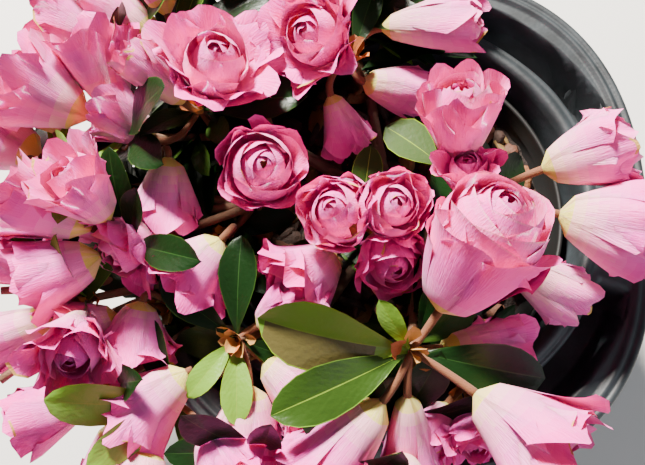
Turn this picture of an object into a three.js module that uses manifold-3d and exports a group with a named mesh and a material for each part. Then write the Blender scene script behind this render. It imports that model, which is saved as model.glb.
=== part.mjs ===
// A young double-flowered azalea in bloom, in its round nursery pot, seated in one pocket of a carry tray.
// Millimetres, +Z up, the origin in the middle of the tray's flat underside, +Y away from the viewer.
import * as THREE from 'three';
import { mergeVertices } from 'three/addons/utils/BufferGeometryUtils.js';
import Module from 'manifold-3d';

const wasm = await Module();
wasm.setup();

const GAP = 0.3; // clearance between two pieces that touch
const STEM_GAP = 0.32; // from a bough's tip to the stem of its mass
const SHORTEST_EDGE = 0.05; // finer facets than this are merged where solids join
const ROUND_STEPS = 28; // facets round the pot and the tray's pocket
const CURVE_STEPS = 24; // places along a curve where its section is turned to follow it
const GOLDEN_ANGLE = Math.PI * (3 - Math.sqrt(5));

// The carry tray's pocket: a rounded square deck with a tapered cup, a skirt and a recess in each corner.
const TRAY = {
  halfWidth: 94,
  halfLength: 98,
  squareness: 2.5,
  deckTop: 110,
  sheet: 2,
  skirtFoot: 86,
  flange: 3,
  pocketRadius: 70,
  pocketFoot: 54,
  floor: 2.4,
  lipRise: 1.4,
  lipWidth: 4,
  recessInner: 78,
  recessOuter: 91,
  recessHalfAngle: THREE.MathUtils.degToRad(23),
  recessDepth: 22,
  drainRadius: 6,
  drainRing: 36,
  drains: 4,
};

// The 13 cm azalea pot and the bark mix that fills it.
const POT = { rimRadius: 65, rimBand: 12, bandStep: 2, baseRadius: 46, top: 103, wall: 1.8 };
const MIX = { top: 94, edgeDrop: 3, flatRadius: 16, chips: 9, chipHeight: 2 };
const CHIP = { length: 11, width: 5.5, thickness: 3.9, tilt: 0.3 };

// The trunk, from its flat cut on the mix to the fork, and the boughs that leave it in a spiral.
const TRUNK = { height: 19, radius: 5.4, flare: 0.85, flareFade: 9, lean: 2.5, sides: 8, steps: 5 };
const BOUGH = { count: 6, radius: 2.6, tipRadius: 1.7, sag: 1.5, sides: 6, steps: 6 };
const BOUGH_START = { first: 5, last: 17, stride: 5 };
const BOUGH_TIP = { share: 0.55, height: 119, least: 26 };
const FIRST_BEARING = THREE.MathUtils.degToRad(-100);

// The crown: a low dome of shoots, wider on its left, with two gaps over the pot's right rim.
// Shoots by rule stand outside the area that faces the viewer, which has the listed shoots.
const CROWN = { x: -30, y: 0, radius: 93, shoots: 58, top: 142, fall: 24, jitter: 4, seed: 20 };
const CROWN_GAPS = [
  { x: 70, y: 50, radius: 42 },
  { x: 82, y: -55, radius: 48 },
];
const VIEWED_AREA = { x: [-72, 78], y: [-76, 60], margin: 24 };
const SHOOT_SPACING = 21;
const TWIG = { radius: 1.3, knob: 4.6, sides: 3, steps: 2, sag: 4, fork: 5, overlap: 0.02 };

// A bloom is a funnel on a downy stalk; a leaf is a narrow oval. Sizes run from small to large.
const BLOOM = { perShoot: 3, stalk: [9, 14], length: [27, 34], across: [23, 31], tilt: [0.85, 1.35] };
const BLOOM_SEARCH = { turns: 6, tiltStep: 0.12, minSpacing: 21, sizes: [1, 0.85, 0.7] };
const BLOOM_SHAPE = { sides: 5, foot: 2.6, waist: 0.31, waistAt: 0.4, mouthAt: 0.88, crown: 2.5 };
const LEAF = { perShoot: 7, length: [24, 44], tilt: [0.9, 1.5], middle: 0.6, clearOfBloom: 12 };
const BLADE = { aspect: 0.42, thickness: 1.6, fullness: 0.65, droop: 0.12, fold: 0.16, sides: 6 };
const UPRIGHT = 0.9; // how much of a shoot's outward direction is up
const LOWEST_OVER_TRAY = TRAY.deckTop + 14;

// The shoots that face the viewer, each with its blooms and leaves as offsets from the shoot's end.
// A bloom is listed as its foot, its mouth and its width, a leaf as its tip.
const VIEW_SHOOTS = [
  {
    at: [0, -56, 147],
    blooms: [
      { foot: [8, 11, 3], mouth: [27, 41, 21], across: 40 },
      { foot: [17, -12, 4], mouth: [42, -33, 14], across: 33 },
      { foot: [-8, -14, -2], mouth: [-31, -40, -16], across: 28 },
      { foot: [-1, -12, -4], mouth: [2, -39, -26], across: 20 },
      { foot: [9, 1, -5], mouth: [37, 1, -22], across: 24 },
    ],
    leaves: [[-45, 7, 11], [-41, -19, 5], [40, -9, 1], [-10, 13, 11], [8, 20, -4]],
  },
  {
    at: [25, -7, 138],
    blooms: [
      { foot: [20, 10, 2], mouth: [47, 17, 12], across: 26 },
      { foot: [24, -5, 3], mouth: [52, -13, 8], across: 31 },
      { foot: [8, -20, -2], mouth: [36, -31, -16], across: 20 },
      { foot: [-7, 12, 3], mouth: [-10, 30, 31], across: 26 },
      { foot: [-5, 2, 2], mouth: [-8, 9, 21], across: 18 },
    ],
    leaves: [[-29, 25, 8], [-6, -25, -8]],
  },
  {
    at: [-14, -13, 132],
    blooms: [
      { foot: [-4, -2, 8], mouth: [-10, -2, 28], across: 25 },
      { foot: [6, 1, 8], mouth: [10, -1, 30], across: 23 },
      { foot: [6, -6, 3], mouth: [10, -20, 18], across: 24 },
      { foot: [-8, -10, 0], mouth: [-26, -26, 6], across: 30 },
    ],
    leaves: [[8, -24, 2], [-24, 12, 4], [4, 26, 6]],
  },
  {
    at: [-16, 45, 138],
    blooms: [
      { foot: [9, 10, 2], mouth: [44, 6, 14], across: 20 },
      { foot: [3, -8, -2], mouth: [28, -8, -14], across: 20 },
      { foot: [-8, -12, -3], mouth: [1, -28, -18], across: 18 },
      { foot: [-7, 1, 6], mouth: [-17, -4, 25], across: 31 },
    ],
    leaves: [[8, 24, 8], [-16, 24, 0], [-30, -4, 2]],
  },
  {
    at: [-54, -51, 130],
    blooms: [
      { foot: [6, 4, 0], mouth: [24, 12, 5], across: 24 },
      { foot: [4, -14, -2], mouth: [2, -40, -12], across: 30 },
      { foot: [8, -6, -4], mouth: [28, -22, -8], across: 26 },
    ],
    leaves: [[1, 32, 10], [-26, 19, 6], [-15, -18, 4], [1, -27, 4], [27, -9, -6]],
  },
  {
    at: [-75, -70, 126],
    blooms: [
      { foot: [6, 9, 4], mouth: [-17, -10, 0], across: 28 },
      { foot: [-6, -14, 2], mouth: [-12, -44, 8], across: 32 },
      { foot: [10, -8, 2], mouth: [26, -28, 6], across: 26 },
    ],
    leaves: [[-38, -1, 6], [-23, -20, 4], [14, -22, 2], [-10, 26, 4]],
  },
  {
    at: [-69, 27, 134],
    blooms: [
      { foot: [8, -8, 2], mouth: [25, -27, 20], across: 28 },
      { foot: [-3, -1, 7], mouth: [-20, 11, 26], across: 17 },
      { foot: [5, 5, 8], mouth: [11, 8, 29], across: 33 },
      { foot: [-15, -10, -2], mouth: [-35, 1, 5], across: 23 },
    ],
    leaves: [[35, 6, 4], [-24, -3, -2], [-20, 24, 4]],
  },
  {
    at: [-92, 0, 116],
    blooms: [
      { foot: [-7, -4, 0], mouth: [-32, -9, -18], across: 32 },
      { foot: [13, 11, 17], mouth: [11, -14, 8], across: 27 },
      { foot: [7, -12, 12], mouth: [-4, -26, 18], across: 28 },
    ],
    leaves: [[-20, 20, 6], [-26, -16, 4], [18, 18, 2]],
  },
  {
    at: [-61, -13, 112],
    blooms: [
      { foot: [2, -6, 24], mouth: [-13, -22, 16], across: 28 },
    ],
    leaves: [[-6, -26, 6], [24, 10, 4]],
  },
  {
    at: [-80, -38, 116],
    blooms: [
      { foot: [-6, 0, 12], mouth: [-10, -19, 7], across: 25 },
      { foot: [-14, -5, 8], mouth: [-31, -14, 9], across: 27 },
    ],
    leaves: [[14, -16, 4], [-22, -18, 2]],
  },
  {
    at: [21, -66, 121],
    blooms: [
      { foot: [1, -5, 1], mouth: [0, -22, 9], across: 20 },
      { foot: [-6, -5, 0], mouth: [-17, -20, 5], across: 20 },
    ],
    leaves: [[16, -18, 4], [18, 8, 4]],
  },
];

const SURFACES = {
  trayPlastic: { color: 0x454c50, roughness: 0.55, metalness: 0 },
  potPlastic: { color: 0x1c1c1b, roughness: 0.5, metalness: 0 },
  barkMix: { color: 0x4a2f20, roughness: 0.95, metalness: 0 },
  bark: { color: 0x5b4334, roughness: 0.9, metalness: 0 },
  foliage: { color: 0xdc86a8, roughness: 0.6, metalness: 0 },
};

function surface(name) {
  return new THREE.MeshStandardMaterial(SURFACES[name]);
}

function point(x, y, z) {
  return new THREE.Vector3(x, y, z);
}

function between([low, high], share) {
  return low + (high - low) * share;
}

// The same draws every time: a linear congruential generator from a seed.
function seededDraw(seed) {
  let state = seed >>> 0;
  return () => {
    state = (Math.imul(state, 1664525) + 1013904223) >>> 0;
    return state / 2 ** 32;
  };
}

// Solids for joining and cutting

function toSolid(geometry) {
  const bare = geometry.clone();
  bare.deleteAttribute('normal');
  bare.deleteAttribute('uv');
  const merged = mergeVertices(bare, 1e-3);
  const vertProperties = new Float32Array(merged.attributes.position.array);
  const triVerts = new Uint32Array(merged.index.array);
  return new wasm.Manifold(new wasm.Mesh({ numProp: 3, vertProperties, triVerts }));
}

function toGeometry(solid) {
  const mesh = solid.getMesh();
  const geometry = new THREE.BufferGeometry();
  geometry.setAttribute('position', new THREE.BufferAttribute(new Float32Array(mesh.vertProperties), 3));
  geometry.setIndex(new THREE.BufferAttribute(new Uint32Array(mesh.triVerts), 1));
  return geometry;
}

// Joins solids and keeps the largest skin, so that sealed hollows fill and loose scraps go.
function joined(solids) {
  const whole = toSolid(toGeometry(wasm.Manifold.union(solids).simplify(SHORTEST_EDGE)));
  const pieces = whole.decompose();
  pieces.sort((one, other) => other.volume() - one.volume());
  return pieces[0];
}

// Surfaces of revolution stand on +Z.
function lathe(profile, steps) {
  const outline = profile.map(([r, z]) => new THREE.Vector2(r, z));
  return new THREE.LatheGeometry(outline, steps).rotateX(Math.PI / 2);
}

function prism(shape, foot, height) {
  return new THREE.ExtrudeGeometry(shape, { depth: height, bevelEnabled: false, curveSegments: 3 })
    .translate(0, 0, foot);
}

// Carry tray

function trayOutline(inset) {
  const power = 2 / TRAY.squareness;
  const corners = [];
  for (let i = 0; i < ROUND_STEPS; i += 1) {
    const angle = (i / ROUND_STEPS) * 2 * Math.PI;
    const c = Math.cos(angle);
    const s = Math.sin(angle);
    const x = Math.sign(c) * Math.abs(c) ** power * (TRAY.halfWidth - inset);
    const y = Math.sign(s) * Math.abs(s) ** power * (TRAY.halfLength - inset);
    corners.push(new THREE.Vector2(x, y));
  }
  return corners;
}

function trayRing(outset, inset, foot, height) {
  const shape = new THREE.Shape(trayOutline(-outset));
  shape.holes.push(new THREE.Path(trayOutline(inset)));
  return prism(shape, foot, height);
}

function recessShape(wall) {
  const { recessInner, recessOuter, recessHalfAngle } = TRAY;
  const slack = wall / recessInner;
  const shape = new THREE.Shape();
  shape.absarc(0, 0, recessOuter + wall, -recessHalfAngle - slack, recessHalfAngle + slack, false);
  shape.absarc(0, 0, recessInner - wall, recessHalfAngle + slack, -recessHalfAngle - slack, true);
  return shape;
}

// The pocket is a tapered cup with a rolled lip and drain holes in its floor.
function trayPocket() {
  const { deckTop, sheet, pocketRadius, pocketFoot, floor, lipRise, lipWidth } = TRAY;
  const pocketProfile = [
    [0, 0],
    [pocketFoot + sheet, 0],
    [pocketRadius + sheet, deckTop - sheet / 2],
    [pocketRadius + lipWidth, deckTop - sheet / 2],
    [pocketRadius + 1, deckTop + lipRise],
    [pocketRadius, deckTop],
    [pocketFoot, floor],
    [0, floor],
  ];
  let pocket = toSolid(lathe(pocketProfile, ROUND_STEPS));
  for (let i = 0; i < TRAY.drains; i += 1) {
    const turn = (i / TRAY.drains) * 2 * Math.PI;
    const drill = new THREE.CylinderGeometry(TRAY.drainRadius, TRAY.drainRadius, 4 * floor, 6)
      .rotateX(Math.PI / 2).translate(TRAY.drainRing, 0, 0).rotateZ(turn);
    pocket = pocket.subtract(toSolid(drill));
  }
  return toGeometry(pocket);
}

// The deck lies round the pocket's lip, with a recess in each corner and a skirt with a flange.
function trayDeck() {
  const { deckTop, sheet, pocketRadius, lipWidth } = TRAY;
  const boreRadius = pocketRadius + lipWidth + GAP;
  const bore = toSolid(new THREE.CylinderGeometry(boreRadius, boreRadius, 3 * sheet, ROUND_STEPS)
    .rotateX(Math.PI / 2).rotateZ(Math.PI / 2).translate(0, 0, deckTop));
  let deck = toSolid(prism(new THREE.Shape(trayOutline(0)), deckTop - sheet, sheet)).subtract(bore);
  const cups = [];
  for (let corner = 0; corner < 4; corner += 1) {
    const turn = Math.PI / 4 + corner * Math.PI / 2;
    const cupFoot = deckTop - TRAY.recessDepth;
    cups.push(toSolid(prism(recessShape(sheet), cupFoot, TRAY.recessDepth - sheet / 2).rotateZ(turn)));
    const hollow = toSolid(prism(recessShape(0), cupFoot + sheet, TRAY.recessDepth).rotateZ(turn));
    deck = deck.subtract(hollow);
    cups[corner] = cups[corner].subtract(hollow);
  }
  const skirt = toSolid(trayRing(0, sheet, TRAY.skirtFoot, deckTop - sheet / 2 - TRAY.skirtFoot));
  const flange = toSolid(trayRing(TRAY.flange, sheet, TRAY.skirtFoot, sheet));
  return toGeometry(joined([deck, skirt, flange, ...cups]));
}

// Pot and mix

const potFoot = TRAY.floor + GAP;

function pot() {
  const { rimRadius, rimBand, bandStep, baseRadius, top, wall } = POT;
  const bandFoot = top - rimBand;
  return lathe([
    [0, potFoot],
    [baseRadius, potFoot],
    [rimRadius - bandStep - 1, bandFoot],
    [rimRadius, bandFoot + 1],
    [rimRadius, top],
    [rimRadius - wall, top],
    [rimRadius - bandStep - wall - 1, bandFoot],
    [baseRadius - wall, potFoot + wall],
    [0, potFoot + wall],
  ], ROUND_STEPS);
}

// The pot's inner radius at a height.
function potInside(z) {
  const { rimRadius, rimBand, bandStep, baseRadius, top, wall } = POT;
  const foot = potFoot + wall;
  const bandFoot = top - rimBand;
  const share = (z - foot) / (bandFoot - foot);
  return THREE.MathUtils.lerp(baseRadius - wall, rimRadius - bandStep - wall - 1, share);
}

function barkMix() {
  const foot = potFoot + POT.wall + GAP;
  const edge = MIX.top - MIX.edgeDrop;
  const body = toSolid(lathe([
    [0, foot],
    [potInside(foot) - 2 * GAP, foot],
    [potInside(edge) - 2 * GAP, edge],
    [MIX.flatRadius, MIX.top],
    [0, MIX.top],
  ], ROUND_STEPS));
  const chips = [];
  for (let i = 0; i < MIX.chips; i += 1) {
    const angle = i * GOLDEN_ANGLE;
    const ring = [MIX.flatRadius + CHIP.length, potInside(edge) - CHIP.length];
    const reach = between(ring, Math.sqrt(i / MIX.chips));
    const chip = new THREE.BoxGeometry(CHIP.length, CHIP.width, CHIP.thickness)
      .rotateY(CHIP.tilt * Math.sin(angle)).rotateZ(2 * angle)
      .translate(reach * Math.cos(angle), reach * Math.sin(angle), edge + MIX.chipHeight);
    chips.push(toSolid(chip));
  }
  return toGeometry(joined([body, ...chips]));
}

// Limbs: a cylinder bent along a curve, its radius a function of the share of the length.

function alongCurve(geometry, curve, length) {
  const { tangents, normals, binormals } = curve.computeFrenetFrames(CURVE_STEPS);
  const position = geometry.attributes.position;
  for (let i = 0; i < position.count; i += 1) {
    const share = THREE.MathUtils.clamp(position.getZ(i) / length, 0, 1);
    const step = Math.round(share * CURVE_STEPS);
    const place = curve.getPointAt(share)
      .addScaledVector(tangents[step], position.getZ(i) - share * length)
      .addScaledVector(normals[step], position.getX(i))
      .addScaledVector(binormals[step], position.getY(i));
    position.setXYZ(i, place.x, place.y, place.z);
  }
  return geometry;
}

function limb(curve, radiusAt, sides, steps) {
  const length = curve.getLength();
  const geometry = new THREE.CylinderGeometry(1, 1, length, sides, steps)
    .rotateX(Math.PI / 2).translate(0, 0, length / 2);
  const position = geometry.attributes.position;
  for (let i = 0; i < position.count; i += 1) {
    const radius = radiusAt(position.getZ(i) / length);
    position.setX(i, position.getX(i) * radius);
    position.setY(i, position.getY(i) * radius);
  }
  return alongCurve(geometry, curve, length);
}

const trunkFoot = point(0, 0, MIX.top + GAP);

function trunk(extra) {
  const top = trunkFoot.clone().add(point(-TRUNK.lean, 0, TRUNK.height + extra));
  const curve = new THREE.LineCurve3(trunkFoot, top);
  const flareAt = (share) => 1 + TRUNK.flare * Math.exp(-TRUNK.flareFade * share);
  const radiusAt = (share) => TRUNK.radius * flareAt(share) - share + extra;
  const geometry = limb(curve, radiusAt, TRUNK.sides, TRUNK.steps);
  const position = geometry.attributes.position;
  for (let i = 0; i < position.count; i += 1) {
    position.setZ(i, Math.max(position.getZ(i), trunkFoot.z));
    if (position.getZ(i) < trunkFoot.z + 1) position.setZ(i, trunkFoot.z);
  }
  return geometry;
}

// Shoots are shared among the boughs by their bearing from the trunk, so each bough has a sector of its own.
function sectors(shoots) {
  const bearing = ({ at }) => {
    const turn = Math.atan2(at.y, at.x) - FIRST_BEARING;
    return THREE.MathUtils.euclideanModulo(turn, 2 * Math.PI);
  };
  const sorted = [...shoots].sort((a, b) => bearing(a) - bearing(b));
  const groups = [];
  for (let i = 0; i < BOUGH.count; i += 1) {
    const first = Math.round((i * sorted.length) / BOUGH.count);
    const last = Math.round(((i + 1) * sorted.length) / BOUGH.count);
    groups.push(sorted.slice(first, last));
  }
  return groups;
}

// A bough ends part of the way out to the middle of its shoots.
function boughTip(group) {
  const middle = point(0, 0, 0);
  group.forEach((shoot) => middle.addScaledVector(shoot.at, 1 / group.length));
  const reach = Math.max(Math.hypot(middle.x, middle.y) * BOUGH_TIP.share, BOUGH_TIP.least);
  return middle.setZ(0).setLength(reach).setZ(BOUGH_TIP.height);
}

// The boughs leave the trunk at different heights, with neighbours well apart.
function boughCurve(tip, index, count) {
  const order = (index * BOUGH_START.stride) % count;
  const level = between([BOUGH_START.first, BOUGH_START.last], order / (count - 1));
  const start = point((-TRUNK.lean * level) / TRUNK.height, 0, trunkFoot.z + level);
  const middle = start.clone().lerp(tip, 0.5).add(point(0, 0, -BOUGH.sag));
  return new THREE.CatmullRomCurve3([start, middle, tip]);
}

// Parts of a mass: twig, knob, leaf and bloom

function twig(from, to) {
  const middle = from.clone().lerp(to, 0.5).add(point(0, 0, -TWIG.sag));
  const curve = new THREE.QuadraticBezierCurve3(from, middle, to);
  return toSolid(limb(curve, () => TWIG.radius, TWIG.sides, TWIG.steps));
}

function knob(at) {
  return toSolid(new THREE.OctahedronGeometry(TWIG.knob, 0).translate(at.x, at.y, at.z));
}

function leaf(from, to, normal) {
  const reach = to.clone().sub(from);
  const length = reach.length();
  const forward = reach.normalize();
  const side = point(0, 0, 0).crossVectors(forward, normal).normalize();
  const over = point(0, 0, 0).crossVectors(side, forward);
  const geometry = new THREE.SphereGeometry(1, BLADE.sides, 2)
    .scale(length / 2, BLADE.thickness / 2, (length * BLADE.aspect) / Math.sqrt(3))
    .translate(length / 2, 0, 0);
  const position = geometry.attributes.position;
  for (let i = 0; i < position.count; i += 1) {
    const share = Math.max(position.getX(i) / length, 0) ** BLADE.fullness;
    position.setX(i, share * length);
    const drooped = position.getY(i) - BLADE.droop * length * share * share;
    position.setY(i, drooped + BLADE.fold * Math.abs(position.getZ(i)));
  }
  geometry.applyMatrix4(new THREE.Matrix4().makeBasis(forward, over, side));
  return toSolid(geometry.translate(from.x, from.y, from.z));
}

// A bloom's funnel: its stalk starts in the knob, and its sides close over a rounded rose.
function bloom(from, foot, mouth, across) {
  const { sides, waist, waistAt, mouthAt, crown } = BLOOM_SHAPE;
  const curve = new THREE.CatmullRomCurve3([from, foot, foot.clone().lerp(mouth, 0.5), mouth]);
  const length = curve.getLength();
  const stalk = from.distanceTo(foot);
  const cup = length - stalk;
  const geometry = lathe([
    [0, 0],
    [BLOOM_SHAPE.foot, stalk],
    [across * waist, stalk + cup * waistAt],
    [across / 2, stalk + cup * mouthAt],
    [0, length + crown],
  ], sides);
  return toSolid(alongCurve(geometry, curve, length));
}

// Layout of the crown by rule: shoots, and the blooms and leaves of each

function domeHeight(x, y) {
  const share = Math.hypot(x - CROWN.x, y - CROWN.y) / CROWN.radius;
  return CROWN.top - CROWN.fall * share * share;
}

function viewed({ x, y }, margin = 0) {
  const { x: across, y: along } = VIEWED_AREA;
  const inX = x > across[0] - margin && x < across[1] + margin;
  return inX && y > along[0] - margin && y < along[1] + margin;
}

function farFrom(place, others, distance) {
  return others.every((other) => other.distanceTo(place) > distance);
}

function crownShoots() {
  const draw = seededDraw(CROWN.seed);
  const shoots = VIEW_SHOOTS.map((shoot) => ({ ...shoot, at: point(...shoot.at) }));
  const taken = shoots.map((shoot) => shoot.at);
  for (let i = 0; i < CROWN.shoots; i += 1) {
    const angle = i * GOLDEN_ANGLE;
    const reach = CROWN.radius * Math.sqrt((i + 0.5) / CROWN.shoots);
    const x = CROWN.x + reach * Math.cos(angle) + CROWN.jitter * (draw() - 0.5);
    const y = CROWN.y + reach * Math.sin(angle) + CROWN.jitter * (draw() - 0.5);
    const at = point(x, y, domeHeight(x, y) + CROWN.jitter * (draw() - 0.5));
    const open = CROWN_GAPS.some((gap) => Math.hypot(x - gap.x, y - gap.y) < gap.radius);
    if (!open && !viewed(at) && farFrom(at, taken, SHOOT_SPACING)) {
      shoots.push({ at, seed: i });
      taken.push(at);
    }
  }
  return shoots;
}

// Outward at a shoot: up in the middle of the crown, leaning out towards its edge.
function outward(at) {
  return point((at.x - CROWN.x) / CROWN.radius, (at.y - CROWN.y) / CROWN.radius, UPRIGHT).normalize();
}

function leaning(axis, tilt, turn) {
  const side = point(1, 0, 0).cross(axis).normalize();
  return axis.clone().applyAxisAngle(side, tilt).applyAxisAngle(axis, turn);
}

function overTray(place) {
  return Math.abs(place.x) < TRAY.halfWidth && Math.abs(place.y) < TRAY.halfLength;
}

function raisedOverTray(from, direction, length) {
  const end = from.clone().addScaledVector(direction, length);
  if (overTray(end)) end.z = Math.max(end.z, LOWEST_OVER_TRAY);
  return end.sub(from).normalize();
}

function rulesBlooms(shoot, draw, mouths) {
  const axis = outward(shoot.at);
  const blooms = [];
  const first = 2 * Math.PI * draw();
  for (let k = 0; k < BLOOM.perShoot; k += 1) {
    const tilt = between(BLOOM.tilt, draw());
    const stalk = between(BLOOM.stalk, draw());
    const length = between(BLOOM.length, draw());
    const across = between(BLOOM.across, draw());
    const turn = first + (k / BLOOM.perShoot) * 2 * Math.PI;
    for (let i = 0; i < BLOOM_SEARCH.turns; i += 1) {
      const lean = tilt - BLOOM_SEARCH.tiltStep * i;
      const direction = raisedOverTray(shoot.at, leaning(axis, lean, turn + i), stalk + length);
      const foot = shoot.at.clone().addScaledVector(direction, stalk);
      const mouth = foot.clone().addScaledVector(direction, length);
      if (!viewed(mouth, VIEWED_AREA.margin) && farFrom(mouth, mouths, BLOOM_SEARCH.minSpacing)) {
        blooms.push({ foot, mouth, across });
        mouths.push(mouth);
        break;
      }
    }
  }
  return blooms;
}

function rulesLeaves(shoot, draw, mouths) {
  const axis = outward(shoot.at);
  const leaves = [];
  const first = 2 * Math.PI * draw();
  for (let k = 0; k < LEAF.perShoot; k += 1) {
    const tilt = between(LEAF.tilt, draw());
    const length = between(LEAF.length, draw());
    const direction = raisedOverTray(shoot.at, leaning(axis, tilt, first + k * GOLDEN_ANGLE), length);
    const places = [1, LEAF.middle].map((share) => shoot.at.clone().addScaledVector(direction, share * length));
    if (places.every((place) => farFrom(place, mouths, LEAF.clearOfBloom))) leaves.push(places[0]);
  }
  return leaves;
}

// A mass grows on from its bough's tip; what would come within the gap of another node is left out.
function growMasses(groups, tips, curves, fixed) {
  const placed = fixed.map((solid) => ({ solid, box: solid.boundingBox(), mass: -1 }));
  const masses = tips.map(() => []);

  const apart = (a, b) => a.min.some((low, i) => low > b.max[i] + GAP || b.min[i] > a.max[i] + GAP);
  const clears = (solid, box, mass) => placed.every((other) => other.mass === mass
    || apart(box, other.box) || solid.minGap(other.solid, 2 * GAP) >= GAP);
  const grow = (mass, solid) => {
    const box = solid.boundingBox();
    if (!clears(solid, box, mass)) return false;
    placed.push({ solid, box, mass });
    masses[mass].push(solid);
    return true;
  };

  const forks = tips.map((tip, mass) => {
    const forward = curves[mass].getTangentAt(1);
    const from = tip.clone().addScaledVector(forward, STEM_GAP);
    const fork = from.clone().addScaledVector(forward, TWIG.fork);
    const stem = limb(new THREE.LineCurve3(from, fork), () => BOUGH.tipRadius, BOUGH.sides, 1);
    grow(mass, toSolid(stem));
    return fork;
  });
  groups.forEach((group, mass) => group.forEach((shoot) => {
    shoot.mass = mass;
    const start = forks[mass].clone().lerp(shoot.at, -TWIG.overlap);
    shoot.grown = grow(mass, twig(start, shoot.at)) && grow(mass, knob(shoot.at));
  }));
  const grown = groups.flat().filter((shoot) => shoot.grown);
  const viewed = grown.filter((shoot) => shoot.blooms);
  const ruled = grown.filter((shoot) => !shoot.blooms);
  const mouths = [];
  for (const shoot of viewed) {
    shoot.blooms = shoot.blooms.map(({ foot, mouth, across }) => ({
      foot: point(...foot).add(shoot.at),
      mouth: point(...mouth).add(shoot.at),
      across,
    }));
    shoot.leafTips = shoot.leaves.map((tip) => point(...tip).add(shoot.at));
    shoot.blooms.forEach((flower) => mouths.push(flower.mouth));
  }
  for (const shoot of ruled) {
    shoot.draw = seededDraw(CROWN.seed + shoot.seed);
    shoot.blooms = rulesBlooms(shoot, shoot.draw, mouths);
  }
  for (const shoot of ruled) {
    shoot.leafTips = rulesLeaves(shoot, shoot.draw, mouths);
  }
  for (const shoot of [...viewed, ...ruled]) {
    for (const flower of shoot.blooms) {
      for (const size of BLOOM_SEARCH.sizes) {
        const mouth = flower.foot.clone().lerp(flower.mouth, size);
        if (grow(shoot.mass, bloom(shoot.at, flower.foot, mouth, flower.across * size))) break;
      }
    }
  }
  for (const shoot of [...viewed, ...ruled]) {
    for (const tip of shoot.leafTips) grow(shoot.mass, leaf(shoot.at, tip, outward(shoot.at)));
  }
  return masses;
}

// Assembly

const model = new THREE.Group();
model.name = 'potted_azalea';

function addNode(name, geometry, surfaceName) {
  const mesh = new THREE.Mesh(geometry, surface(surfaceName));
  mesh.name = name;
  model.add(mesh);
  return toSolid(geometry);
}

const fixedSolids = [
  addNode('tray_pocket', trayPocket(), 'trayPlastic'),
  addNode('tray_deck', trayDeck(), 'trayPlastic'),
  addNode('pot', pot(), 'potPlastic'),
  addNode('bark_mix', barkMix(), 'barkMix'),
  addNode('trunk', trunk(0), 'bark'),
];

const clearances = [toSolid(trunk(GAP))];
const groups = sectors(crownShoots());
const tips = groups.map(boughTip);
const curves = tips.map((tip, index) => boughCurve(tip, index, tips.length));
curves.forEach((curve, index) => {
  const radiusAt = (share) => THREE.MathUtils.lerp(BOUGH.radius, BOUGH.tipRadius, share);
  const whole = toSolid(limb(curve, radiusAt, BOUGH.sides, BOUGH.steps));
  const cut = clearances.reduce((solid, other) => solid.subtract(other), whole);
  fixedSolids.push(addNode(`bough_${index + 1}`, toGeometry(joined([cut])), 'bark'));
  clearances.push(toSolid(limb(curve, (share) => radiusAt(share) + GAP, BOUGH.sides, BOUGH.steps)));
});

growMasses(groups, tips, curves, fixedSolids).forEach((parts, index) => {
  addNode(`mass_${index + 1}`, toGeometry(joined(parts)), 'foliage');
});

export default model;
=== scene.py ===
# %% [markdown]
# A potted azalea in bloom
#
# A young double-flowered azalea stands in a round nursery pot, and the pot sits in one pocket of a carry tray.
# The exact solids of the plant, the pot and the tray are loaded as a fixed frame, in metres, and this script
# dresses them: it grows real petals, leaves and bark where the frame has plain solids.

# %% Load the frame
import bpy
import numpy as np
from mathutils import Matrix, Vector


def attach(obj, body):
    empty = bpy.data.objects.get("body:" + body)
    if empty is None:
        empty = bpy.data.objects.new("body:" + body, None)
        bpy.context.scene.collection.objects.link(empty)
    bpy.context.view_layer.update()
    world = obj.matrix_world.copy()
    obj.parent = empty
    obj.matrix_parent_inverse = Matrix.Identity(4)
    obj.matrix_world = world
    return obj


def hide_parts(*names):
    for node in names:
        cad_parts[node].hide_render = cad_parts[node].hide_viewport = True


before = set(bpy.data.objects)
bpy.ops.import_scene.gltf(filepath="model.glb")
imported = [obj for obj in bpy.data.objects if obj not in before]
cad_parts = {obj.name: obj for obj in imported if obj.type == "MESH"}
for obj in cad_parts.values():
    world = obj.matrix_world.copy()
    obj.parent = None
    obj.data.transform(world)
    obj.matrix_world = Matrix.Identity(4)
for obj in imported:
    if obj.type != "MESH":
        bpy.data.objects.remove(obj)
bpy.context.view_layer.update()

MM = 0.001

# %% [markdown]
# The camera looks down on the plant from 25 cm, as one bends over a pot to see the flowers.
# A camera in Blender looks along its own -Z, so a turn of 14 degrees about X leans it from straight down
# towards the far side. The focal length follows from the angle that the width of the picture takes in.

# %% Camera
CAMERA_PLACE = (-26.4, -71.6, 355.0)
CAMERA_RISE = 76.0
FOCAL_PIXELS = 690.0
PICTURE_WIDTH = 645

view = bpy.data.cameras.new("view")
view.sensor_width = 36.0
view.lens = view.sensor_width * FOCAL_PIXELS / PICTURE_WIDTH
view.clip_start = 0.01
camera = bpy.data.objects.new("view", view)
camera.location = [c * MM for c in CAMERA_PLACE]
camera.rotation_euler = (np.radians(90 - CAMERA_RISE), 0, 0)
bpy.context.scene.collection.objects.link(camera)
bpy.context.scene.camera = camera
print("lens", round(view.lens, 1), "mm")

# %% [markdown]
# A surface is easiest to write as a function of two parameters: one value across and one along. Numpy then
# works out every point of the grid at once, and only the list of quads has to be built beside it.
# The helpers below turn such grids into one joined mesh. A piece that is built of closed tubes and shells is
# welded, which joins the points where a ring shrinks to a pole or a seam closes.

# %% Grids and joined meshes
SEAM_MM = 0.02


def unit(rows):
    """Each vector divided by its length."""
    rows = np.asarray(rows, float)
    return rows / np.linalg.norm(rows, axis=-1, keepdims=True)


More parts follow.
